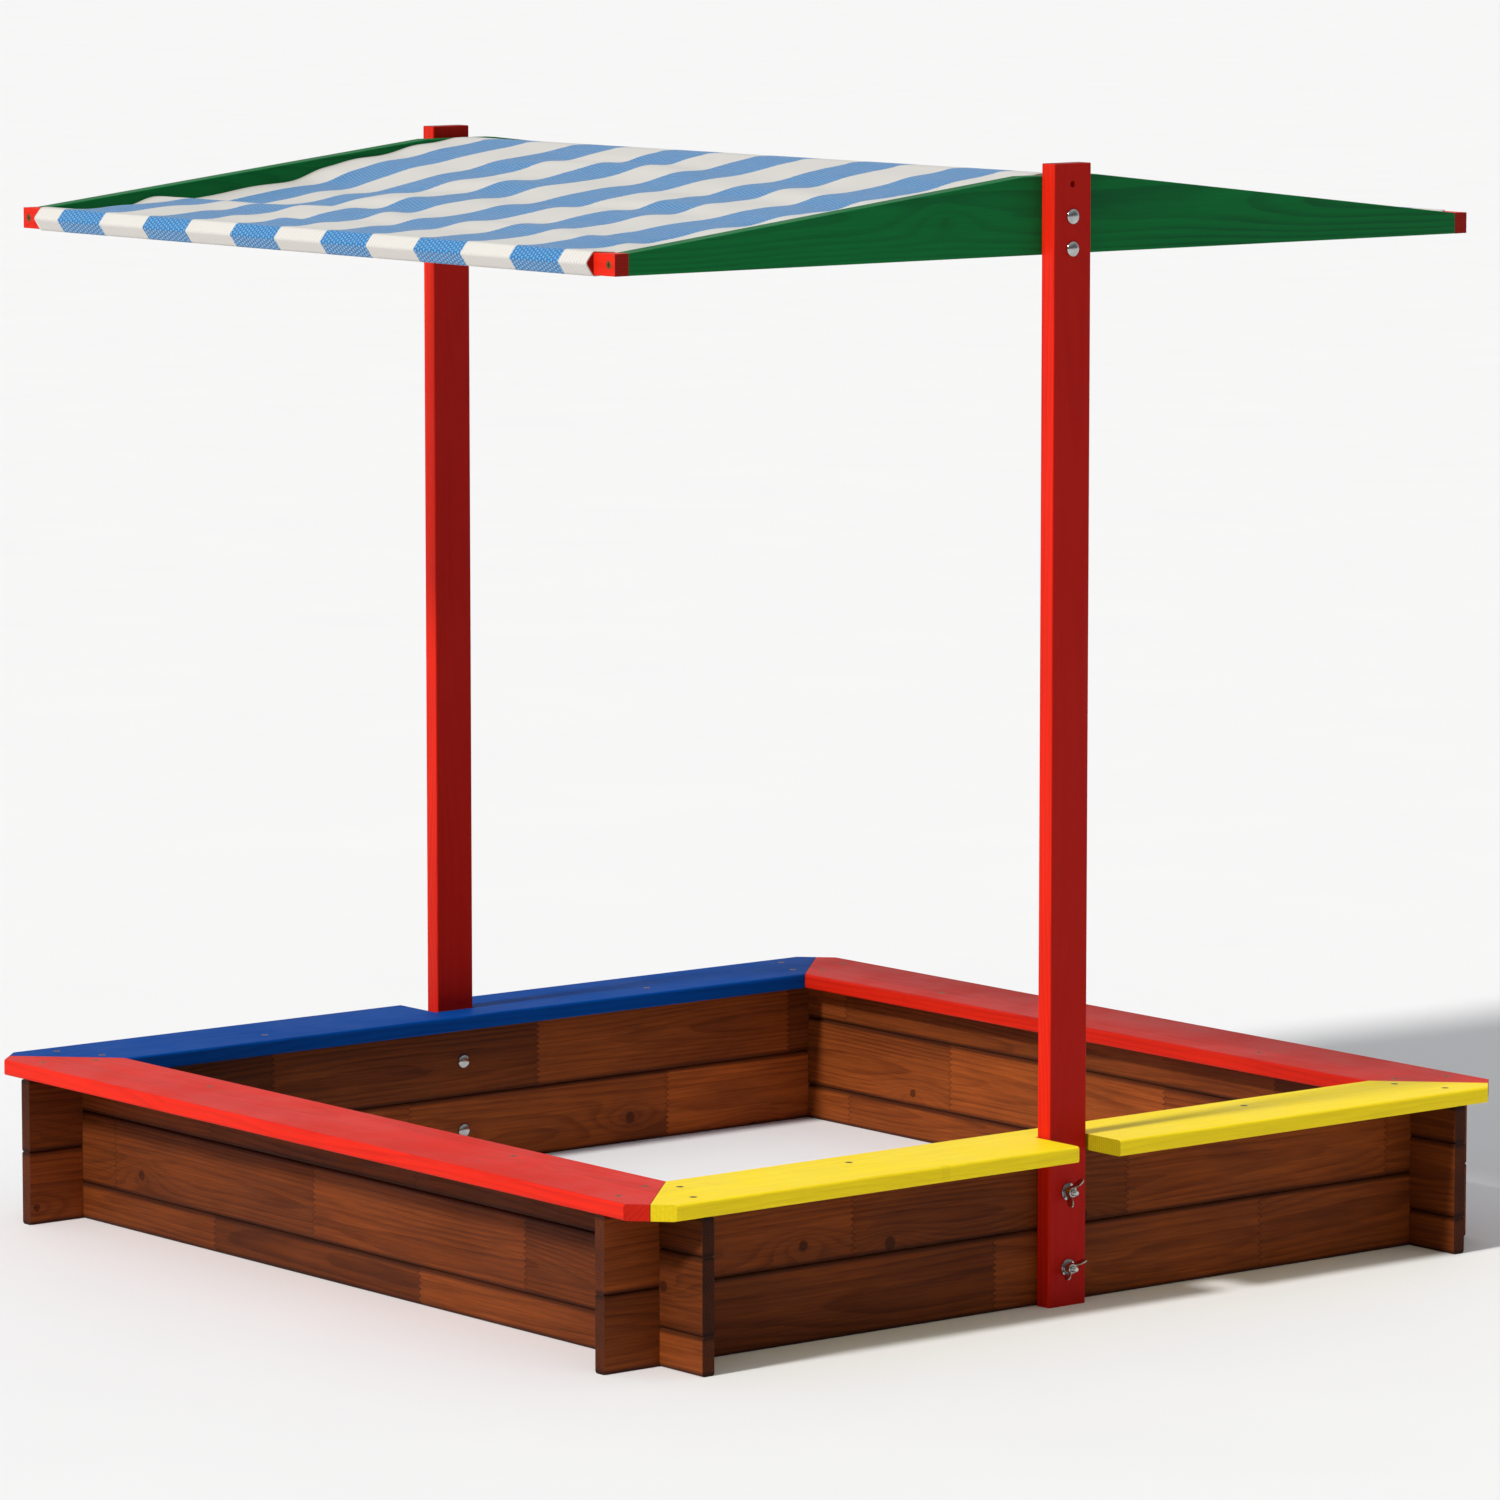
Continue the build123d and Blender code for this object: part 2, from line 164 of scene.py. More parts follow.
def make_pine_grain():
    """Growth rings, knots, fibres and clouds of a sawn board; grain runs along the vector's x.

    Rings are shells round the pith, warped by slow noise and pushed aside round each knot.
    """
    tree, given, out = shader_group(
        "pine_grain",
        [
            ("Vector", VECTOR, None),
            ("Pith", VECTOR, (0.0, 0.0, 0.0)),
            ("Seed", FLOAT, 0.0),
            ("Ring Pitch", FLOAT, 0.0045),
            ("Knots", FLOAT, 1.0),
        ],
        [("Rings", FLOAT), ("Fibre", FLOAT), ("Cloud", FLOAT), ("Knot", FLOAT), ("Height", FLOAT)],
    )
    place, seed = given["Vector"], given["Seed"]
    slow = tree.noise(tree.vector("MULTIPLY", place, (1.3, 6.0, 6.0)), detail=1.5, seed=seed)
    warp = tree.vector("SCALE", tree.vector("SUBTRACT", slow[1], (0.5, 0.5, 0.5)), 0.055)
    turned = tree.vector("ADD", tree.vector("SUBTRACT", place, given["Pith"]), warp)
    across = tree.vector("MULTIPLY", turned, (0.0, 1.0, 1.0))
    radius = tree.vector("LENGTH", across)

    knot_scale = (3.4, 10.0, 0.0)
    spread = tree.vector("MULTIPLY", place, knot_scale)
    shift = tree.math("MULTIPLY", seed, 7.31)
    spread = tree.vector("ADD", spread, tree.join(shift, tree.math("MULTIPLY", seed, 2.17), 0.0))
    cells = tree.add(
        "ShaderNodeTexVoronoi", {"Vector": spread, "Scale": 1.0}, voronoi_dimensions="2D"
    ).outputs
    away = tree.vector("SUBTRACT", spread, cells["Position"])
    away = tree.vector("MULTIPLY", away, (1 / knot_scale[0], 1 / knot_scale[1], 0.0))
    chance = tree.split(cells["Color"])
    present = tree.math("MULTIPLY", tree.math("GREATER_THAN", chance[0], 0.6), given["Knots"])
    size = tree.math("MULTIPLY_ADD", chance[1], 0.005, 0.0035)
    distance = tree.vector("LENGTH", away)
    inside = tree.math("SUBTRACT", distance, 0.0015)
    ragged = tree.math("MULTIPLY_ADD", tree.noise(place, scale=260.0)[0], 0.003, inside)
    core = tree.step(ragged, size, tree.math("MULTIPLY", size, 0.7))
    swirl = tree.math("SINE", tree.math("MULTIPLY", distance, 2300.0))
    swirl = tree.math("MULTIPLY_ADD", swirl, 0.22, 0.78)
    knot = tree.math("MULTIPLY", core, tree.math("MULTIPLY", present, swirl))
    spans = tree.split(tree.vector("MULTIPLY", away, (1 / 0.05, 1 / 0.015, 0.0)))
    reach = tree.math("POWER", tree.math("ABSOLUTE", spans[0]), 1.4)
    reach = tree.math("ADD", reach, tree.math("MULTIPLY", spans[1], spans[1]))
    flow = tree.math("EXPONENT", tree.math("MULTIPLY", reach, -1.0))
    flow = tree.math("MULTIPLY", flow, present)
    radius = tree.math("MULTIPLY_ADD", flow, 0.014, radius)

    rough = tree.noise(tree.vector("MULTIPLY", place, (7.0, 60.0, 60.0)), detail=3.0, seed=seed)
    radius = tree.math("MULTIPLY_ADD", rough[0], 0.0035, radius)
    turn = tree.math("FRACT", tree.math("DIVIDE", radius, given["Ring Pitch"]))
    late = tree.math("MULTIPLY", tree.step(turn, 0.3, 0.88), tree.step(turn, 1.0, 0.92))
    stretched = tree.vector("MULTIPLY", place, (3.2, 17.0, 17.0))
    fade = tree.noise(stretched, detail=4.0, roughness=0.62, seed=seed)
    cloud = tree.step(fade[0], 0.34, 0.66)
    strength = tree.math("MULTIPLY_ADD", cloud, 0.6, 0.4)
    rings = tree.math("MULTIPLY", late, strength)
    rings = tree.math("MAXIMUM", rings, tree.math("MULTIPLY", flow, 0.35))
    drawn = tree.vector("MULTIPLY", place, (11.0, 430.0, 430.0))
    fine = tree.noise(drawn, detail=4.0, roughness=0.7)
    fibre = tree.step(fine[0], 0.3, 0.7)
    height = tree.math("MULTIPLY_ADD", rings, 0.55, tree.math("MULTIPLY", fibre, 0.45))
    height = tree.math("MULTIPLY_ADD", knot, 0.5, height)
    results = {"Rings": rings, "Fibre": fibre, "Cloud": cloud, "Knot": knot, "Height": height}
    for label, value in results.items():
        tree.feed(out.inputs[label], value)
    return tree.tree


def make_soft_edges():
    """Normal rounded over sharp edges, and a mask of where those edges are."""
    tree, given, out = shader_group(
        "soft_edges", [("Radius", FLOAT, 0.0012)], [("Normal", VECTOR), ("Edge", FLOAT)]
    )
    rounded = tree.add("ShaderNodeBevel", {"Radius": given["Radius"]}, samples=4).outputs[0]
    flat = tree.add("ShaderNodeNewGeometry").outputs["True Normal"]
    tree.feed(out.inputs["Normal"], rounded)
    tree.feed(out.inputs["Edge"], tree.step(tree.vector("DOT_PRODUCT", rounded, flat), 0.995, 0.86))
    return tree.tree


def make_handling_marks():
    """Broad rub marks that vary the gloss of paint, stain and metal."""
    tree, given, out = shader_group(
        "handling_marks", [("Vector", VECTOR, None), ("Scale", FLOAT, 1.0)], [("Rubbed", FLOAT)]
    )
    place = tree.vector("SCALE", given["Vector"], given["Scale"])
    broad = tree.noise(place, scale=9.0, detail=4.0, roughness=0.6)[0]
    tree.feed(out.inputs["Rubbed"], tree.step(broad, 0.35, 0.7))
    return tree.tree


def make_knit():
    """Ribs and open loops of a warp-knitted tape cloth, from lengths across and along it."""
    tree, given, out = shader_group(
        "knit",
        [
            ("Across", FLOAT, 0.0),
            ("Along", FLOAT, 0.0),
            ("Rib Pitch", FLOAT, 0.0048),
            ("Loop Pitch", FLOAT, 0.0042),
        ],
        [("Rib", FLOAT), ("Loop", FLOAT), ("Height", FLOAT)],
    )
    column = tree.math("DIVIDE", given["Across"], given["Rib Pitch"])
    lane = tree.math("FLOOR", column)
    odd = tree.math("MULTIPLY", tree.math("MODULO", tree.math("ABSOLUTE", lane), 2.0), 0.5)
    row = tree.math("ADD", tree.math("DIVIDE", given["Along"], given["Loop Pitch"]), odd)
    lane_side = tree.off_middle(column)
    row_side = tree.off_middle(row)
    rib = tree.step(lane_side, 0.5, 0.12)
    loop = tree.math("MULTIPLY", tree.step(row_side, 0.26, 0.08), tree.step(lane_side, 0.42, 0.2))
    height = tree.math("SUBTRACT", rib, tree.math("MULTIPLY", loop, 0.8))
    for label, value in (("Rib", rib), ("Loop", loop), ("Height", height)):
        tree.feed(out.inputs[label], value)
    return tree.tree


FINGER_PITCH = 6.6 * MM
FINGER_LENGTH = 5.5 * MM


def make_finger_joints():
    """Splits a board into joined lengths, each with its own random number, and marks the joints."""
    tree, given, out = shader_group(
        "finger_joints",
        [("Vector", VECTOR, None), ("Length", FLOAT, 0.34), ("Seed", FLOAT, 0.0)],
        [("Piece", FLOAT), ("Joint", FLOAT)],
    )
    x, y, _ = tree.split(given["Vector"])
    tooth = tree.off_middle(tree.math("DIVIDE", y, FINGER_PITCH))
    along = tree.math("MULTIPLY_ADD", tooth, FINGER_LENGTH * 2, x)
    along = tree.math("DIVIDE", along, given["Length"])
    along = tree.math("MULTIPLY_ADD", given["Seed"], 0.371, along)
    index = tree.math("ADD", tree.math("FLOOR", along), given["Seed"])
    piece = tree.add("ShaderNodeTexWhiteNoise", {"W": index}, noise_dimensions="1D").outputs["Value"]
    share = tree.math("FRACT", along)
    near = tree.math("MINIMUM", share, tree.math("SUBTRACT", 1.0, share))
    near = tree.math("MULTIPLY", near, given["Length"])
    tree.feed(out.inputs["Piece"], piece)
    tree.feed(out.inputs["Joint"], tree.step(near, 0.0009, 0.0003))
    return tree.tree


PINE_GRAIN = make_pine_grain()
FINGER_JOINTS = make_finger_joints()
SOFT_EDGES = make_soft_edges()
HANDLING_MARKS = make_handling_marks()
KNIT = make_knit()


def blank_material(name):
    """New material with one principled shader; returns it, its Tree and the shader."""
    material = bpy.data.materials.new(name)
    material.use_nodes = True
    material.node_tree.nodes.clear()
    tree = Tree(material.node_tree)
    shader = tree.add("ShaderNodeBsdfPrincipled")
    output = tree.add("ShaderNodeOutputMaterial")
    tree.feed(output.inputs["Surface"], shader.outputs[0])
    return material, tree, shader


def colour(*parts):
    return (*parts, 1.0)


def board_coordinates(tree, order, centre):
    """Object coordinates about a board's middle: x along its grain, y across its width, z through it."""
    place = tree.add("ShaderNodeTexCoord").outputs
    middle = tree.vector("SUBTRACT", place["Object"], tuple(centre))
    parts = tree.split(middle)
    along = ["xyz".index(letter) for letter in order]
    normal = tree.split(place["Normal"])
    return tree.join(*(parts[index] for index in along)), [normal[index] for index in along]


# Painted shade in the gaps between planks starts and is full at these distances.
PAINTED_GAP_SHADE_START = 6.5 * MM         # from a board's long edge
PAINTED_GAP_SHADE_FULL = 1.5 * MM
SAW_MARKS = 2100.0             # radians a metre, across a sawn end
GRAIN_DEPTH = 0.7 * MM


def wood_material(name, part, order, seed, light, dark, knot_colour, end_shade, finish):
    """Sawn pine under stain or glaze.

    order names the axes that the part's grain, width and thickness run along. finish holds the
    amounts by which grain, joints, wear, the painted edge highlight, and the painted shade in the
    gaps between planks and on broad faces show, and the gloss.
    """
    low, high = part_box(part)
    centre = (Vector(low) + Vector(high)) / 2
    material, tree, shader = blank_material(name)
    place, facing = board_coordinates(tree, order, centre)
    pith = (0.0, 0.011 * math.sin(seed * 2.7), -0.036 - 0.012 * math.sin(seed * 1.9))
    joints = use_group(
        tree, FINGER_JOINTS, {"Vector": place, "Length": finish["lengths"], "Seed": seed}
    )
    grain = use_group(
        tree,
        PINE_GRAIN,
        {
            "Vector": place,
            "Pith": pith,
            "Seed": tree.math("MULTIPLY_ADD", joints["Piece"], 9.0, seed),
            "Ring Pitch": finish["pitch"],
            "Knots": finish["knots"],
        },
    )
    marks = use_group(tree, HANDLING_MARKS, {"Vector": place, "Scale": 1.0})
    edges = use_group(tree, SOFT_EDGES, {"Radius": finish["edge"]})

    tone = tree.math("MULTIPLY", grain["Rings"], finish["rings"], clamp=True)
    shade = tree.mix(tone, colour(*light), colour(*dark))
    cloud = tree.math("MULTIPLY", grain["Cloud"], finish["cloud"])
    shade = tree.mix(cloud, shade, colour(*dark))
    shade = tree.mix(tree.math("MULTIPLY", grain["Knot"], finish["knot"]), shade, colour(*knot_colour))
    fibre = tree.math("MULTIPLY_ADD", grain["Fibre"], finish["fibre"], 1.0 - finish["fibre"] * 0.55)
    patchwork = finish["patchwork"]
    cut = tree.math("MULTIPLY_ADD", joints["Piece"], patchwork, 1.0 - patchwork * 0.5)
    fibre = tree.math("MULTIPLY", fibre, cut)
    shade = tree.mix(1.0, shade, tree.join(fibre, fibre, fibre), blend="MULTIPLY")
    across = "xyz".index(order[1])
    half = (high[across] - low[across]) / 2
    off_centre = tree.math("ABSOLUTE", tree.split(place)[1])
    # Painted shade: each plank darkens towards its long edges, where shade falls in the gaps between
    # planks; the finger joints' glue lines are real dark marks.
    painted_gap_mask = tree.step(off_centre, half - PAINTED_GAP_SHADE_START, half - PAINTED_GAP_SHADE_FULL)
    grime = tree.math("MULTIPLY", tree.math("MAXIMUM", painted_gap_mask, joints["Joint"]), finish["grime"])
    shade = tree.mix(grime, shade, colour(*knot_colour))
    end = tree.step(tree.math("ABSOLUTE", facing[0]), 0.55, 0.9)
    ripple = tree.math("SINE", tree.math("MULTIPLY", tree.split(place)[1], SAW_MARKS))
    saw = tree.math("MULTIPLY_ADD", ripple, 0.10, 0.9)
    end_tint = tree.mix(1.0, shade, colour(*end_shade), blend="MULTIPLY")
    end_tint = tree.mix(1.0, end_tint, tree.join(saw, saw, saw), blend="MULTIPLY")
    shade = tree.mix(end, shade, end_tint)
    # Painted shade: faces whose normal runs through the board are darkened towards the dark colour by
    # the broad amount.
    broad = tree.step(tree.math("ABSOLUTE", facing[2]), 0.6, 0.9)
    shade = tree.mix(tree.math("MULTIPLY", broad, finish["broad"]), shade, colour(*dark))
    # Rubbed edges take the edge colour; on the green roof boards that brighter green is a painted
    # highlight on their edges.
    worn = tree.math("MULTIPLY", edges["Edge"], tree.math("MULTIPLY_ADD", marks["Rubbed"], 0.6, 0.4))
    shade = tree.mix(tree.math("MULTIPLY", worn, finish["wear"]), shade, colour(*finish["worn"]))
    tree.feed(shader.inputs["Base Color"], shade)

    gloss = tree.math("MULTIPLY_ADD", marks["Rubbed"], 0.10, finish["rough"])
    gloss = tree.math("MULTIPLY_ADD", grain["Fibre"], 0.08, gloss)
    tree.feed(shader.inputs["Roughness"], gloss)
    shader.inputs["Specular IOR Level"].default_value = finish["specular"]
    relief = {"Strength": finish["bump"], "Distance": GRAIN_DEPTH, "Height": grain["Height"]}
    bump = tree.add("ShaderNodeBump", relief)
    tree.feed(bump.inputs["Normal"], edges["Normal"])
    tree.feed(shader.inputs["Normal"], bump.outputs[0])
    return material


def give(material, obj):
    """Makes a material the only one on an object."""
    obj.data.materials.clear()
    obj.data.materials.append(material)
    for face in obj.data.polygons:
        face.material_index = 0


# pitch: ring pitch; lengths: of the joined pieces of a plank; the edge colour: of rubbed edges, and on
# the green roof boards a painted highlight; broad: how far the broad faces are darkened, a painted
# shade;
# the rest are amounts from 0 to 1, the gap amount being painted shade along plank edges and real
# finger-joint lines.
STAIN = dict(
    pitch=0.0037, knots=1.0, rings=0.50, cloud=0.45, knot=0.85, fibre=0.42, rough=0.55, specular=0.12,
    bump=0.55, edge=0.0012, wear=0.22, worn=(0.26, 0.075, 0.016), broad=0.0,
    lengths=0.37, patchwork=0.55, grime=0.75,
)
GLAZE = dict(
    pitch=0.0046, knots=0.7, rings=0.28, cloud=0.16, knot=0.25, fibre=0.12, rough=0.42, specular=0.10,
    bump=0.28, edge=0.0012, wear=0.04, worn=(0.9, 0.4, 0.25), broad=0.0,
    lengths=30.0, patchwork=0.0, grime=0.0,
)

LIGHT_STAIN = (0.240, 0.053, 0.0080)
DARK_STAIN = (0.066, 0.0112, 0.0016)
KNOT_STAIN = (0.018, 0.0033, 0.0008)
# Painted light and shade: each wall's stain is made darker or lighter to match how bright that wall
# stands in the light.
WALL_LIGHT_AND_SHADE = {"front": 0.62, "back": 0.92, "left": 1.12, "right": 0.95}   # by wall
STAIN_END = (0.45, 0.40, 0.36)
GLAZE_END = (0.42, 0.42, 0.42)


def stain_planks():
    """Every wall plank gets its own cut of stained pine."""
    planks = sorted(name for name in nodes if "_wall_plank_" in name)
    for index, name in enumerate(planks):
        order = "xzy" if name.startswith(("front", "back")) else "yzx"
        # A random tone per plank, times its wall's painted light and shade.
        plank_tone_and_wall_light = 0.86 + 0.30 * (math.sin(index * 2.4) * 0.5 + 0.5)
        plank_tone_and_wall_light *= WALL_LIGHT_AND_SHADE[name.split("_")[0]]
        light = tuple(value * plank_tone_and_wall_light for value in LIGHT_STAIN)
        dark = tuple(value * plank_tone_and_wall_light for value in DARK_STAIN)
        made = wood_material(
            f"stained_pine_{name}", name, order, 3.1 + index * 1.37,
            light, dark, KNOT_STAIN, STAIN_END, STAIN,
        )
        give(made, nodes[name])


RED = dict(light=(0.72, 0.018, 0.005), dark=(0.36, 0.0025, 0.0008), knot_colour=(0.30, 0.003, 0.001))
YELLOW = dict(light=(0.97, 0.74, 0.012), dark=(0.86, 0.58, 0.005), knot_colour=(0.62, 0.40, 0.004))
BLUE = dict(light=(0.0008, 0.060, 0.30), dark=(0.0004, 0.030, 0.18), knot_colour=(0.001, 0.02, 0.12))
GREEN = dict(light=(0.0001, 0.145, 0.030), dark=(0.0001, 0.060, 0.017), knot_colour=(0.0, 0.028, 0.010))

# part: paint, its axes along, across and through, seed, changes to the glaze
PAINTED = {
    "front_red_seat": (RED, "xyz", 21.3, {}),
    "back_red_seat": (RED, "xyz", 24.9, {}),
    "yellow_seat": (YELLOW, "yxz", 27.2, {"wear": 0.05}),
    "blue_seat": (BLUE, "yxz", 31.8, {"rings": 0.4, "specular": 0.03, "rough": 0.5}),
    # The posts' broad faces carry painted shade.
    "left_post": (RED, "zyx", 35.5, {"rings": 0.4, "broad": 0.8, "cloud": 0.2}),
    "right_post": (RED, "zyx", 38.1, {"rings": 0.4, "broad": 0.8, "cloud": 0.2}),
    # The green boards' brighter green edge colour is a painted highlight.
    "left_roof_board": (GREEN, "yzx", 41.4, {"rings": 0.6, "worn": (0.01, 0.34, 0.12), "wear": 0.5}),
    "right_roof_board": (GREEN, "yzx", 44.6, {"rings": 0.6, "worn": (0.01, 0.34, 0.12), "wear": 0.5}),
    "front_eave_batten": (RED, "xzy", 47.7, {"rings": 0.35}),
    "back_eave_batten": (RED, "xzy", 51.2, {"rings": 0.35}),
    "ridge_batten": (RED, "xyz", 54.3, {"rings": 0.35}),
}


def paint_timber():
    """Seats, posts, roof boards and battens under coloured glaze."""
    for name, (paint, order, seed, changes) in PAINTED.items():
        made = wood_material(
            f"glazed_{name}", name, order, seed,
            paint["light"], paint["dark"], paint["knot_colour"], GLAZE_END, {**GLAZE, **changes},
        )
        give(made, nodes[name])


def metal_material(name, base, tarnish, rough):
    """Plated steel or brass with dull patches and fine flecks."""
    material, tree, shader = blank_material(name)
    place = tree.add("ShaderNodeTexCoord").outputs["Object"]
    marks = use_group(tree, HANDLING_MARKS, {"Vector": place, "Scale": 12.0})
    edges = use_group(tree, SOFT_EDGES, {"Radius": 0.0004})
    flecks = tree.noise(place, scale=900.0, detail=3.0, roughness=0.6)[0]
    dull = tree.math("MULTIPLY_ADD", marks["Rubbed"], 0.35, tree.math("MULTIPLY", flecks, 0.3))
    tree.feed(shader.inputs["Base Color"], tree.mix(dull, colour(*base), colour(*tarnish)))
    shader.inputs["Metallic"].default_value = 1.0
    tree.feed(shader.inputs["Roughness"], tree.math("MULTIPLY_ADD", dull, 0.22, rough))
    bump = tree.add("ShaderNodeBump", {"Strength": 0.12, "Distance": 0.0001, "Height": flecks})
    tree.feed(bump.inputs["Normal"], edges["Normal"])
    tree.feed(shader.inputs["Normal"], bump.outputs[0])
    return material


ZINC = metal_material("zinc_plate", (0.56, 0.57, 0.57), (0.17, 0.17, 0.16), 0.12)
BRASS = metal_material("brass_plate", (0.30, 0.17, 0.05), (0.08, 0.04, 0.012), 0.4)


# ---- roof cloth ----
CLOTH_THICKNESS = 0.8 * MM
CLOTH_GAP = 0.25 * MM          # between the cloth and the timber under it
NOSE = 8.0 * MM                # by which an eave batten's nose stands out from its flat ends
CLOTH_HALF = 498.6 * MM        # half width between the roof boards
WRAP_HALF = 485.7 * MM         # half width round an eave batten
HEM_RETURN = 12.0 * MM         # tail of cloth under an eave batten
STRIPE_PITCH = 160.4 * MM
BLUE_SHARE = 0.493             # of the stripe pitch
RIPPLE_LENGTH = 108.0 * MM
RIPPLE_HEIGHT = 2.1 * MM
SLOPE_SAG = 6.0 * MM
LOOSE_SAG = 11.5 * MM          # more sag towards the side that was pulled less tight
FLAP_DROOP = 10.0 * MM         # of the loose flaps just behind an eave batten
FLAP_REACH = 45.0 * MM
TUCK = 4.0 * MM                # of the tighter side, down behind its roof board
NOSE_TIP = 12.0 * MM           # height of a batten's nose above its bottom
RIDGE_CROWN = 0.25 * MM        # by which the cloth arches over the flat of the ridge batten
SLOPE_ROWS = 92
RIDGE_ROWS = 7
CLOTH_COLUMNS = 104


def smooth(value, low, high):
    t = min(1.0, max(0.0, (value - low) / (high - low)))
    return t * t * (3 - 2 * t)


def rounded_run(points, rounds=3, share=0.22):
    """Polyline with its inner corners cut again and again until they are soft."""
    for _ in range(rounds):
        cut = [points[0]]
        for a, b in zip(points, points[1:]):
            cut += [a.lerp(b, share), a.lerp(b, 1 - share)]
        points = cut + [points[-1]]
    return points


def cloth_rows():
    """Section of the cloth from under one eave batten to under the other, as (y, z, kind) rows.

    kind is "wrap" round a batten, "top" over the ridge, and on a slope the share of the way up it.
    Also gives the y at which the back batten starts and that of its flat ends.
    """
    low, high = (Vector(corner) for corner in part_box("back_eave_batten"))
    _, ridge = (Vector(corner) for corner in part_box("ridge_batten"))
    off = CLOTH_GAP + CLOTH_THICKNESS / 2
    flat = high.y - NOSE
    nose_height = low.z + NOSE_TIP
    wrap = rounded_run(
        [
            Vector((flat - HEM_RETURN, low.z - off)),
            Vector((flat + 0.8 * MM, low.z - off - 0.5 * MM)),
            Vector((high.y + off + 1.2 * MM, nose_height)),
            Vector((flat + 0.8 * MM, high.z + off + 0.5 * MM)),
            Vector((low.y + 2.0 * MM, high.z + off)),
        ],
        share=0.1,
    )
    eave = Vector((low.y, high.z + off))
    peak = Vector((ridge.y, ridge.z + off))
    rows = [(point.x, point.y, "wrap") for point in wrap]
    for index in range(SLOPE_ROWS):
        t = (index + 0.5) / SLOPE_ROWS
        point = eave.lerp(peak, t)
        rows.append((point.x, point.y, t))
    top = []
    for index in range(RIDGE_ROWS):
        share = index / (RIDGE_ROWS - 1)
        crown = RIDGE_CROWN * math.sin(math.pi * share)
        point = Vector((ridge.y * (1 - 2 * share), ridge.z + off + crown))
        top.append((point.x, point.y, "top"))
    far = [(-y, z, kind) for y, z, kind in reversed(rows)]
    return rows + top + far, low.y, flat


def cloth_lift(x, y, t):
    """Height of the cloth over the straight line from eave to ridge, at share t of the way up."""
    side = -1.0 if y < 0 else 1.0
    free = smooth(t, 0.0, 0.13) * (1 - smooth(t, 0.86, 1.0))
    drift = noise.noise(Vector((x * 2.9 + 4.0, y * 2.2, side * 3.0)))
    patch = noise.noise(Vector((x * 4.1, y * 5.3, 9.0 + side)))
    turns = abs(y) / RIPPLE_LENGTH + 0.9 * drift + 0.9 * x * side + 0.1
    wave = math.sin(2 * math.pi * turns) + 0.35 * math.sin(2 * math.pi * (1.7 * turns + patch))
    lift = RIPPLE_HEIGHT * free * (0.75 + 0.9 * patch) * wave
    lift -= SLOPE_SAG * (4 * t * (1 - t)) ** 0.8
    loose = smooth(-x, 0.12, 0.42) * (1.0 if side < 0 else 0.5)
    lift -= LOOSE_SAG * loose * smooth(t, 0.16, 0.36) * (1 - smooth(t, 0.50, 0.80))
    flap = math.exp(-(((CLOTH_HALF - abs(x)) / FLAP_REACH) ** 2))
    lift -= TUCK * flap * free * smooth(x, 0.0, 0.2)
    return lift - FLAP_DROOP * flap * smooth(t, -0.02, 0.08) * (1 - smooth(t, 0.16, 0.27))


def hang_cloth():
    """The roof cloth as one thick sheet, and the length of its section."""
    rows, batten_back, batten_front = cloth_rows()
    batten_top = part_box("back_eave_batten")[1][2]
    mesh = bmesh.new()
    layer = mesh.loops.layers.uv.new("cloth")
    grid, lengths = [], []
    run, last = 0.0, None
    for y, z, kind in rows:
        point = Vector((y, z))
        run += (point - last).length if last is not None else 0.0
        last = point
        narrow = smooth(abs(y), batten_back + 1.5 * MM, batten_front)
        half = CLOTH_HALF + (WRAP_HALF - CLOTH_HALF) * (narrow if kind != "top" else 0.0)
        if kind == "wrap" and z < batten_top:
            half = WRAP_HALF
        line = []
        for column in range(CLOTH_COLUMNS + 1):
            s = 2 * column / CLOTH_COLUMNS - 1
            s = math.copysign(1 - (1 - abs(s)) ** 1.25, s)
            x = s * half
            lift = cloth_lift(x, y, kind) if isinstance(kind, float) else 0.0
            line.append((mesh.verts.new((x, y, z + lift)), x))
        grid.append(line)
        lengths.append(run)
    for row in range(len(grid) - 1):
        near, far = grid[row], grid[row + 1]
        along = [lengths[row], lengths[row + 1], lengths[row + 1], lengths[row]]
        for column in range(CLOTH_COLUMNS):
            corners = [near[column], far[column], far[column + 1], near[column + 1]]
            face = mesh.faces.new([corner[0] for corner in corners])
            face.smooth = True
            for loop, corner, v in zip(face.loops, corners, along):
                loop[layer].uv = (corner[1], v)
    mesh.normal_update()
    data = bpy.data.meshes.new("striped_roof_cloth")
    mesh.to_mesh(data)
    mesh.free()
    cloth = bpy.data.objects.new("striped_roof_cloth", data)
    bpy.context.scene.collection.objects.link(cloth)
    thick = cloth.modifiers.new("thickness", "SOLIDIFY")
    thick.thickness = CLOTH_THICKNESS
    thick.offset = 0.0
    thick.use_even_offset = False
    bake_modifiers(cloth)
    return cloth, lengths[-1]


def bake_modifiers(obj):
    """Turns an object's modifiers into its own mesh."""
    graph = bpy.context.evaluated_depsgraph_get()
    solid = bpy.data.meshes.new_from_object(obj.evaluated_get(graph))
    obj.modifiers.clear()
    old = obj.data
    name = old.name
    obj.data = solid
    bpy.data.meshes.remove(old)
    solid.name = name


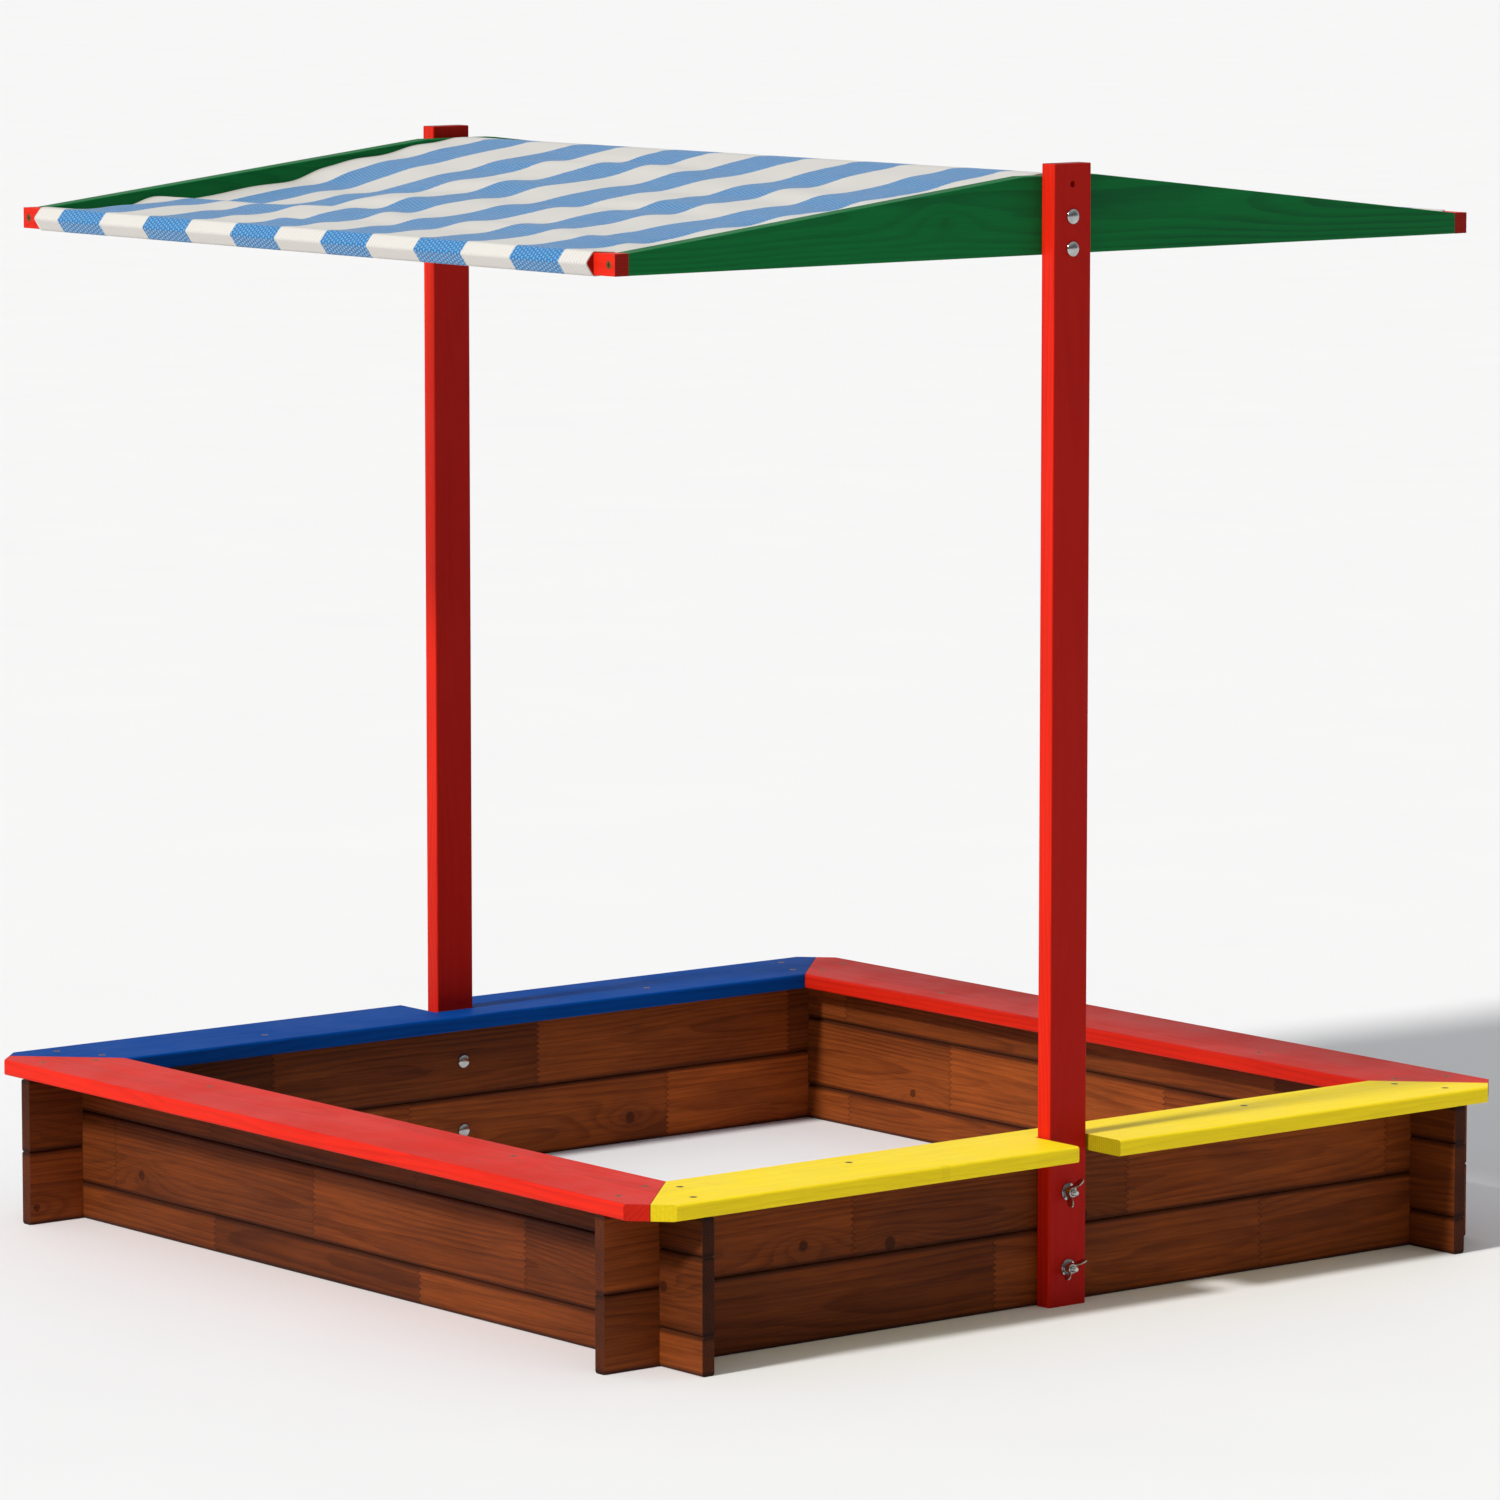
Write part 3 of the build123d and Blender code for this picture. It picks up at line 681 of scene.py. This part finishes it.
def cloth_material():
    """White and blue tape cloth: ribbed blue bands, smoother white ones, a little open."""
    material, tree, shader = blank_material("striped_tape_cloth")
    uv = tree.add("ShaderNodeUVMap", uv_map="cloth").outputs[0]
    across, along, _ = tree.split(uv)
    knit = use_group(tree, KNIT, {"Across": across, "Along": along})
    frayed = tree.noise(tree.join(0.0, along, 0.0), scale=160.0, detail=1.0)[0]
    wander = tree.math("MULTIPLY_ADD", frayed, 0.003, -0.0015)
    stripe = tree.math("FRACT", tree.math("DIVIDE", tree.math("ADD", across, wander), STRIPE_PITCH))
    aside = tree.math("ABSOLUTE", tree.math("SUBTRACT", stripe, 0.5))
    blue = tree.step(aside, BLUE_SHARE / 2 + 0.004, BLUE_SHARE / 2 - 0.004)
    ribbing = tree.math("MULTIPLY", knit["Rib"], blue)

    # Painted shade: the grooves between ribs and the open loops are coloured darker where shade falls in
    # the knit, and the rib crests lighter; the white bands carry the same painted shade, fainter.
    blue_and_painted_knit_shade = tree.mix(knit["Rib"], colour(0.003, 0.068, 0.23), colour(0.052, 0.37, 0.76))
    blue_and_painted_knit_shade = tree.mix(knit["Loop"], blue_and_painted_knit_shade, colour(0.012, 0.15, 0.42))
    white_and_painted_knit_shade = tree.mix(knit["Rib"], colour(0.60, 0.575, 0.53), colour(0.69, 0.665, 0.62))
    soil = tree.noise(tree.join(across, along, 0.0), scale=11.0, detail=3.0)[0]
    white_and_painted_knit_shade = tree.mix(tree.step(soil, 0.45, 0.75), white_and_painted_knit_shade, colour(0.66, 0.64, 0.59))
    tree.feed(shader.inputs["Base Color"], tree.mix(blue, white_and_painted_knit_shade, blue_and_painted_knit_shade))
    openness = tree.math("MULTIPLY", tree.math("MULTIPLY", knit["Loop"], blue), 0.16)
    selvedge = tree.step(tree.math("ABSOLUTE", across), 0.484, 0.4985)
    openness = tree.math("MULTIPLY_ADD", selvedge, 0.22, openness)
    cover = tree.math("MULTIPLY_ADD", blue, 0.05, 0.92)
    tree.feed(shader.inputs["Alpha"], tree.math("SUBTRACT", cover, openness))
    tree.feed(shader.inputs["Roughness"], tree.math("MULTIPLY_ADD", ribbing, -0.08, 0.5))
    shader.inputs["Specular IOR Level"].default_value = 0.3
    shader.inputs["Sheen Weight"].default_value = 0.28
    lumps = tree.math("MULTIPLY", knit["Height"], tree.math("MULTIPLY_ADD", blue, 0.92, 0.08))
    bump = tree.add("ShaderNodeBump", {"Strength": 0.9, "Distance": 0.9 * MM, "Height": lumps})
    tree.feed(shader.inputs["Normal"], bump.outputs[0])
    return material


# ---- bolts and wing nuts ----
BOLT_RADIUS = 3.0 * MM
HEAD_RADIUS = 8.0 * MM
HEAD_HEIGHT = 3.6 * MM
NECK = 6.2 * MM
NECK_DEPTH = 4.0 * MM
THREAD_PITCH = 1.0 * MM
THREAD_DEPTH = 0.45 * MM
THREADED = 17.0 * MM
WASHER = 1.6 * MM
POST_BOLT = 50.0 * MM          # length under the head
ROOF_BOLT = 55.0 * MM
POST_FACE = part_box("right_post")[1][0]
BOARD_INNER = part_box("right_roof_board")[0][0]
WALL_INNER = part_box("right_wall_plank_1")[0][0]


def bolt_heights(node):
    """Heights of a CAD pair of bolts, lower one first."""
    low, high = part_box(node)
    return low[2] + HEAD_RADIUS, high[2] - HEAD_RADIUS


POST_BOLT_HEIGHTS = bolt_heights("right_post_bolts")
ROOF_BOLT_HEIGHTS = bolt_heights("right_roof_bolts")


def lathe(mesh, profile, segments, place):
    """Closed turned shape; profile runs (radius, height) from one pole to the other."""
    rings = []
    for radius, height in profile:
        if radius < 1e-7:
            rings.append([mesh.verts.new(place @ Vector((0, 0, height)))])
            continue
        ring = []
        for step in range(segments):
            angle = 2 * math.pi * step / segments
            spot = Vector((radius * math.cos(angle), radius * math.sin(angle), height))
            ring.append(mesh.verts.new(place @ spot))
        rings.append(ring)
    for lower, upper in zip(rings, rings[1:]):
        for step in range(segments):
            ahead = (step + 1) % segments
            if len(lower) == 1:
                mesh.faces.new([lower[0], upper[ahead], upper[step]])
            elif len(upper) == 1:
                mesh.faces.new([lower[step], lower[ahead], upper[0]])
            else:
                mesh.faces.new([lower[step], lower[ahead], upper[ahead], upper[step]])


def along_x(side, distance, height):
    """Placement at a height on the centre plane whose z points along X, the way side says."""
    turn = Matrix(((0, 0, side), (side, 0, 0), (0, 1, 0))).to_4x4()
    return Matrix.Translation((distance, 0, height)) @ turn


def bolt_profile(length):
    """From the tip up to the top of the domed head; height 0 is where the head seats."""
    profile = [(0.0, -length), (BOLT_RADIUS - 0.9 * MM, -length)]
    turns = int(THREADED / THREAD_PITCH)
    for turn in range(turns):
        base = -length + 0.5 * MM + turn * THREAD_PITCH
        profile += [
            (BOLT_RADIUS - THREAD_DEPTH, base),
            (BOLT_RADIUS - 0.03 * MM, base + THREAD_PITCH * 0.42),
            (BOLT_RADIUS - 0.03 * MM, base + THREAD_PITCH * 0.58),
        ]
    thread_end = -length + turns * THREAD_PITCH
    profile += [
        (BOLT_RADIUS - THREAD_DEPTH, thread_end + 0.5 * MM),
        (BOLT_RADIUS - 0.02 * MM, thread_end + 1.2 * MM),
        (BOLT_RADIUS - 0.02 * MM, 0.0),
        (HEAD_RADIUS - 0.5 * MM, 0.0),
        (HEAD_RADIUS, 0.25 * MM),
        (HEAD_RADIUS, 0.7 * MM),
    ]
    steps = 9
    for step in range(1, steps):
        angle = math.pi / 2 * step / steps
        rise = 0.7 * MM + (HEAD_HEIGHT - 0.7 * MM) * math.sin(angle)
        profile.append((HEAD_RADIUS * math.cos(angle), rise))
    return profile + [(0.0, HEAD_HEIGHT)]


def finish_mesh(mesh, name, material, smooth_angle=35):
    """Closes, turns outwards and shades a bmesh, and links it as an object."""
    bmesh.ops.remove_doubles(mesh, verts=mesh.verts, dist=1e-6)
    bmesh.ops.recalc_face_normals(mesh, faces=mesh.faces)
    limit = math.radians(smooth_angle)
    for edge in mesh.edges:
        edge.smooth = not (edge.is_manifold and edge.calc_face_angle(0.0) > limit)
    for face in mesh.faces:
        face.smooth = True
    data = bpy.data.meshes.new(name)
    mesh.to_mesh(data)
    mesh.free()
    obj = bpy.data.objects.new(name, data)
    bpy.context.scene.collection.objects.link(obj)
    give(material, obj)
    return obj


def add_bolts(node, facing, seat, heights, length):
    """Carriage bolts that take the place of a CAD bolt pair; facing is the way their heads point."""
    mesh = bmesh.new()
    for height in heights:
        place = along_x(facing, seat, height)
        lathe(mesh, bolt_profile(length), 32, place)
        neck = bmesh.ops.create_cube(mesh, size=1.0)["verts"]
        size = Matrix.Diagonal((NECK, NECK, NECK_DEPTH, 1))
        box = place @ Matrix.Translation((0, 0, -NECK_DEPTH / 2)) @ size
        bmesh.ops.transform(mesh, matrix=box, verts=neck)
    obj = finish_mesh(mesh, f"threaded_{node}", ZINC)
    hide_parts(node)
    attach(obj, nodes[node]["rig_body"])


def ear_ring(mesh, centre, up, wide, thick, segments=16):
    """Rounded section of a wing at one station along it."""
    ring = []
    for step in range(segments):
        angle = 2 * math.pi * step / segments
        c, s = math.cos(angle), math.sin(angle)
        flat = math.copysign(abs(c) ** 0.75, c) * wide
        deep = math.copysign(abs(s) ** 0.75, s) * thick
        ring.append(mesh.verts.new(centre + up * flat + Vector((0, deep, 0))))
    return ring


def wing_nut_mesh():
    """Forged wing nut about its own z, its wings along x, remeshed into one soft form."""
    mesh = bmesh.new()
    # millimetres: (radius, height) up the hub, then (out, up, half width, half thickness) of a wing
    hub = [(3.2, 0.0), (6.3, 0.0), (6.6, 0.5), (6.3, 3.2), (5.3, 7.2), (4.7, 8.0), (3.3, 8.0)]
    profile = [(radius * MM, height * MM) for radius, height in hub]
    lathe(mesh, profile + [profile[0]], 40, Matrix.Identity(4))
    stations = [
        (3.9, 3.4, 2.7, 1.5),
        (6.6, 5.2, 3.4, 1.35),
        (9.4, 7.6, 3.9, 1.2),
        (11.6, 9.9, 4.2, 1.15),
        (13.2, 12.2, 3.6, 1.15),
        (14.3, 14.3, 2.0, 1.0),
        (14.8, 15.2, 0.9, 0.7),
    ]
    for side in (-1, 1):
        rings = []
        for index, (out, height, wide, thick) in enumerate(stations):
            ahead = stations[min(index + 1, len(stations) - 1)]
            behind = stations[max(index - 1, 0)]
            run = Vector(((ahead[0] - behind[0]) * side, 0, ahead[1] - behind[1])).normalized()
            up = Vector((-run.z * side, 0, run.x * side))
            centre = Vector((out * side, 0, height)) * MM
            rings.append(ear_ring(mesh, centre, up, wide * MM, thick * MM))
        for lower, upper in zip(rings, rings[1:]):
            for step in range(len(lower)):
                ahead = (step + 1) % len(lower)
                mesh.faces.new([lower[step], lower[ahead], upper[ahead], upper[step]])
        mesh.faces.new(rings[0])
        mesh.faces.new(rings[-1])
    obj = finish_mesh(mesh, "wing_nut_pattern", ZINC)
    fuse = obj.modifiers.new("fuse", "REMESH")
    fuse.mode = "VOXEL"
    fuse.voxel_size = 0.42 * MM
    fuse.use_smooth_shade = True
    soften = obj.modifiers.new("soften", "SMOOTH")
    soften.factor = 0.5
    soften.iterations = 3
    bake_modifiers(obj)
    pattern = obj.data.copy()
    bpy.data.objects.remove(obj)
    return pattern


def add_wing_nuts():
    """Forged nuts in place of the CAD ones, each left at its own angle in degrees."""
    pattern = wing_nut_mesh()
    layout = {
        "post_wing_nut_lower": (1, POST_FACE + WASHER, POST_BOLT_HEIGHTS[0], 35),
        "post_wing_nut_upper": (1, POST_FACE + WASHER, POST_BOLT_HEIGHTS[1], 60),
        "roof_wing_nut_lower": (-1, BOARD_INNER - WASHER, ROOF_BOLT_HEIGHTS[0], 10),
        "roof_wing_nut_upper": (-1, BOARD_INNER - WASHER, ROOF_BOLT_HEIGHTS[1], 160),
    }
    for side, hand in ((1, "right"), (-1, "left")):
        for part, (facing, distance, height, angle) in layout.items():
            node = f"{hand}_{part}"
            data = pattern.copy()
            data.name = f"forged_{node}"
            turn = Matrix.Rotation(math.radians(angle), 4, "Z")
            data.transform(along_x(side * facing, side * distance, height) @ turn)
            obj = bpy.data.objects.new(f"forged_{node}", data)
            bpy.context.scene.collection.objects.link(obj)
            give(ZINC, obj)
            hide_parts(node)
            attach(obj, nodes[node]["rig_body"])


# ---- staples along the cloth's tails ----
STAPLE = {"Crown": 10.0 * MM, "Leg": 1.2 * MM, "Wire": 0.45 * MM}
STAPLE_REACH = 460.0 * MM      # from the middle to the last staple of a row
STAPLE_SPACING = 65.75 * MM


def staple_row(name, y, z, start, end, spacing):
    """Row of wire staples laid along X by a small geometry tree."""
    group = bpy.data.node_groups.new("staple_row", "GeometryNodeTree")
    sizes = {"Start": start, "End": end, "Spacing": spacing, **STAPLE}
    for label, value in sizes.items():
        socket = group.interface.new_socket(label, in_out="INPUT", socket_type=FLOAT)
        socket.default_value = value
    row = group.interface.new_socket("Row", in_out="INPUT", socket_type=VECTOR)
    group.interface.new_socket("Geometry", in_out="OUTPUT", socket_type="NodeSocketGeometry")
    tree = Tree(group)
    given = tree.add("NodeGroupInput").outputs
    out = tree.add("NodeGroupOutput")
    line = tree.add("GeometryNodeMeshLine", mode="END_POINTS", count_mode="RESOLUTION")
    first = tree.vector("ADD", tree.join(given["Start"], 0.0, 0.0), given["Row"])
    last = tree.vector("ADD", tree.join(given["End"], 0.0, 0.0), given["Row"])
    tree.feed(line.inputs["Start Location"], first)
    tree.feed(line.inputs["Offset"], last)
    tree.feed(line.inputs["Resolution"], given["Spacing"])
    half = tree.math("MULTIPLY", given["Crown"], 0.5)
    minus = tree.math("MULTIPLY", half, -1.0)
    runs = []
    for a, b in (
        (tree.join(minus, 0.0, given["Leg"]), tree.join(minus, 0.0, 0.0)),
        (tree.join(minus, 0.0, 0.0), tree.join(half, 0.0, 0.0)),
        (tree.join(half, 0.0, 0.0), tree.join(half, 0.0, given["Leg"])),
    ):
        segment = tree.add("GeometryNodeCurvePrimitiveLine", {"Start": a, "End": b})
        round_wire = {"Resolution": 8, "Radius": given["Wire"]}
        circle = tree.add("GeometryNodeCurvePrimitiveCircle", round_wire)
        curves = {"Curve": segment.outputs[0], "Profile Curve": circle.outputs[0]}
        tube = tree.add("GeometryNodeCurveToMesh", {**curves, "Fill Caps": True})
        runs.append(tube.outputs[0])
    joined = tree.add("GeometryNodeJoinGeometry")
    for part in runs:
        tree.tree.links.new(part, joined.inputs[0])
    points = {"Points": line.outputs[0], "Instance": joined.outputs[0]}
    placed = tree.add("GeometryNodeInstanceOnPoints", points)
    skew = tree.add("FunctionNodeRandomValue", {"Seed": 4}, data_type="FLOAT")
    skew.inputs[2].default_value = -0.12
    skew.inputs[3].default_value = 0.12
    tree.feed(placed.inputs["Rotation"], tree.join(0.0, 0.0, skew.outputs[1]))
    real = tree.add("GeometryNodeRealizeInstances", {0: placed.outputs[0]})
    coat = tree.add("GeometryNodeSetMaterial", {0: real.outputs[0]})
    coat.inputs["Material"].default_value = ZINC
    tree.feed(out.inputs[0], coat.outputs[0])
    obj = bpy.data.objects.new(name, bpy.data.meshes.new(name))
    bpy.context.scene.collection.objects.link(obj)
    modifier = obj.modifiers.new("staples", "NODES")
    modifier.node_group = group
    modifier[row.identifier] = (0.0, y, z)
    bake_modifiers(obj)
    return obj


# ---- put it together ----
stain_planks()
paint_timber()
for name, obj in nodes.items():
    if name.endswith("_screws"):
        give(BRASS, obj)
    elif name.endswith(("_washers", "_bolts")) or "_wing_nut_" in name:
        give(ZINC, obj)

cloth, cloth_length = hang_cloth()
stripe_finish = cloth_material()
give(stripe_finish, cloth)
give(stripe_finish, nodes["roof_cloth"])

batten_low, batten_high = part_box("back_eave_batten")
for side, end in ((-1, "front"), (1, "back")):
    row_y = side * (batten_high[1] - NOSE - HEM_RETURN * 0.6)
    row_z = batten_low[2] - CLOTH_GAP - CLOTH_THICKNESS - 0.3 * MM
    staple_set = staple_row(
        f"{end}_cloth_staples", row_y, row_z, -STAPLE_REACH, STAPLE_REACH, STAPLE_SPACING
    )
    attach(staple_set, "roof")

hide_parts("roof_cloth")
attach(cloth, "roof")

for side, hand in ((1, "right"), (-1, "left")):
    add_bolts(f"{hand}_post_bolts", -side, side * WALL_INNER, POST_BOLT_HEIGHTS, POST_BOLT)
    add_bolts(f"{hand}_roof_bolts", side, side * POST_FACE, ROOF_BOLT_HEIGHTS, ROOF_BOLT)
add_wing_nuts()


# ---- floor, light and camera ----
FLOOR_HALF = 90.0
SUN_STRENGTH = 3.15
SUN_WIDTH = 7                  # degrees
SUN_ELEVATION = 40             # degrees
SUN_SWING = 2                  # degrees from straight in front, towards +X
CAMERA_PLACE = (6.5251, -5.2187, 1.5820)
CAMERA_YAW = -0.89503          # radians from +Y, towards +X
CAMERA_PITCH = -0.1257         # radians, upwards
CAMERA_LENS = 187.2            # mm, on a sensor 36 mm wide


def add_floor():
    """Wide pale floor on which the object stands."""
    mesh = bmesh.new()
    bmesh.ops.create_grid(mesh, x_segments=8, y_segments=8, size=FLOOR_HALF)
    data = bpy.data.meshes.new("studio_floor")
    mesh.to_mesh(data)
    mesh.free()
    floor = bpy.data.objects.new("studio_floor", data)
    bpy.context.scene.collection.objects.link(floor)
    material, tree, shader = blank_material("studio_floor")
    place = tree.add("ShaderNodeTexCoord").outputs["Object"]
    mottle = tree.noise(place, scale=3.0, detail=3.0)[0]
    grey = tree.mix(mottle, colour(0.82, 0.82, 0.82), colour(0.85, 0.85, 0.845))
    tree.feed(shader.inputs["Base Color"], grey)
    tree.feed(shader.inputs["Roughness"], tree.math("MULTIPLY_ADD", mottle, 0.1, 0.75))
    shader.inputs["Specular IOR Level"].default_value = 0.1
    give(material, floor)


def add_light():
    """A high sun in front, under a sky that is bright behind the object and dim before it."""
    world = bpy.data.worlds.new("studio")
    bpy.context.scene.world = world
    world.use_nodes = True
    world.node_tree.nodes.clear()
    tree = Tree(world.node_tree)
    toward = tree.add("ShaderNodeTexCoord").outputs["Generated"]
    rise = tree.step(tree.split(toward)[2], 0.05, 0.8)
    backdrop = tree.step(tree.vector("DOT_PRODUCT", toward, (-0.78, 0.62, 0.0)), -0.2, 0.85)
    ring = tree.mix(backdrop, colour(0.13, 0.135, 0.14), colour(0.85, 0.86, 0.88))
    sky = tree.mix(rise, ring, colour(0.62, 0.63, 0.65))
    background = tree.add("ShaderNodeBackground", {"Color": sky, "Strength": 0.85})
    output = tree.add("ShaderNodeOutputWorld")
    tree.feed(output.inputs["Surface"], background.outputs[0])

    key = bpy.data.lights.new("key", "SUN")
    key.energy = SUN_STRENGTH
    key.angle = math.radians(SUN_WIDTH)
    key.color = (1.0, 0.985, 0.96)
    lamp = bpy.data.objects.new("key", key)
    elevation, swing = math.radians(SUN_ELEVATION), math.radians(SUN_SWING)
    level = math.cos(elevation)
    sun = Vector((math.sin(swing) * level, -math.cos(swing) * level, math.sin(elevation)))
    lamp.rotation_euler = sun.to_track_quat("Z", "Y").to_euler()
    bpy.context.scene.collection.objects.link(lamp)


def add_camera():
    """Long lens on the front right corner, a little above the roof."""
    camera = bpy.data.cameras.new("camera")
    camera.sensor_width = 36.0
    camera.lens = CAMERA_LENS
    camera.clip_end = 400.0
    obj = bpy.data.objects.new("camera", camera)
    obj.location = CAMERA_PLACE
    level = math.cos(CAMERA_PITCH)
    look = Vector(
        (math.sin(CAMERA_YAW) * level, math.cos(CAMERA_YAW) * level, math.sin(CAMERA_PITCH))
    )
    obj.rotation_euler = look.to_track_quat("-Z", "Y").to_euler()
    bpy.context.scene.collection.objects.link(obj)
    bpy.context.scene.camera = obj


add_floor()
add_light()
add_camera()
bpy.context.scene.view_settings.view_transform = "Standard"
